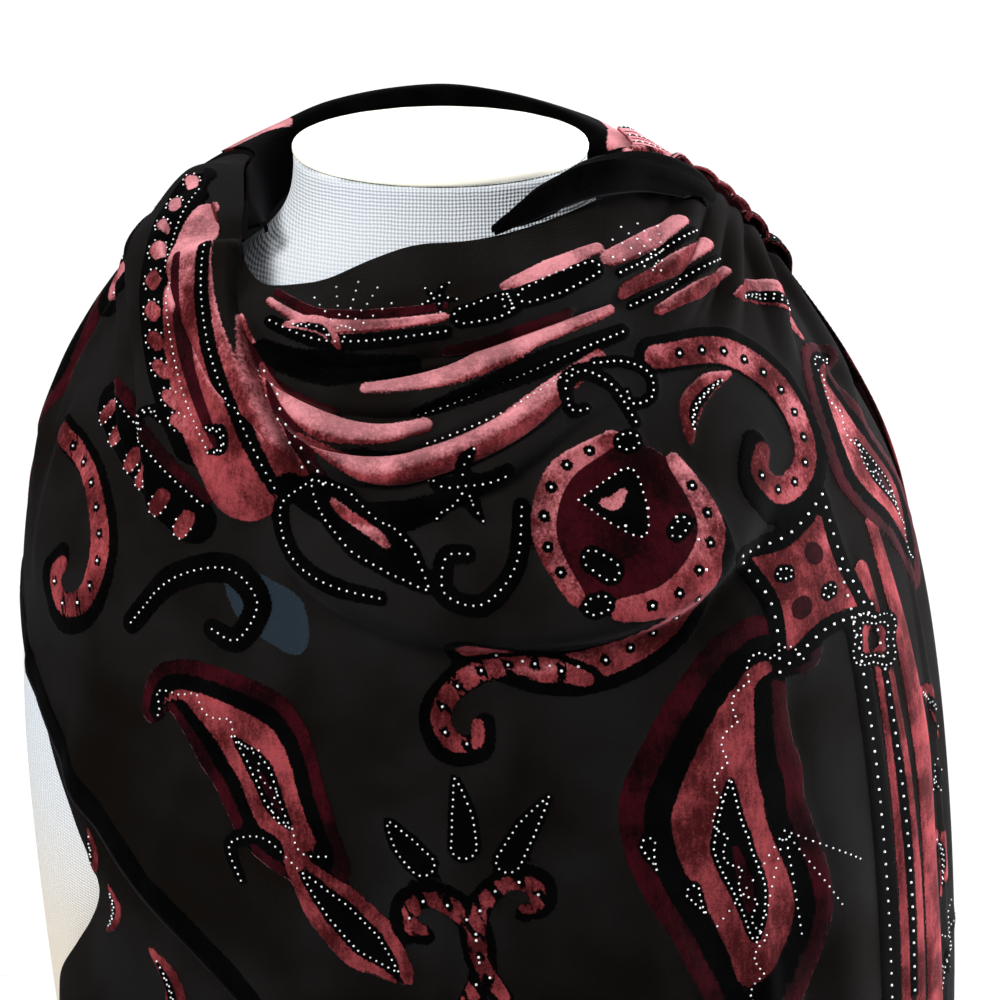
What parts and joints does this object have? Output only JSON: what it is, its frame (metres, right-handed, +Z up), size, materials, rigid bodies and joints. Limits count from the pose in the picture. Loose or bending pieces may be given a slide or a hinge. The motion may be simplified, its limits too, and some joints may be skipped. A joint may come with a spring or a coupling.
{
  "type": "silk scarf on a limbless dress form",
  "caption": "Wide burnout velvet scarf wound round the neck and thrown over one shoulder of a plain limbless bust form, with cowl folds in front and a diagonal hem.",
  "frame": {"origin": "middle of the form's flat base", "axes": "+Z up through the neck, the front of the form faces -Y, the shoulder the end is thrown over is at +X"},
  "size_m": [0.3842, 0.2685, 0.5687],
  "materials": {
    "linen_cover": "plain woven linen",
    "cream_cap": "satin",
    "front_velvet": "burnout velvet on chiffon",
    "back_chiffon": "burnout velvet on chiffon",
    "neck_velvet": "burnout velvet on chiffon",
    "toss_velvet": "burnout velvet on chiffon",
    "roll_velvet": "velvet pile",
    "under_chiffon": "burnout velvet on chiffon"
  },
  "bodies": {
    "root": {"form_body": "linen_cover", "form_neck_cap": "cream_cap", "scarf_front": "front_velvet", "scarf_back": "back_chiffon", "scarf_neck_wrap": "neck_velvet", "scarf_right_toss": "toss_velvet", "scarf_shoulder_roll": "roll_velvet", "scarf_under_fall": "under_chiffon"}
  },
  "joints": []
}
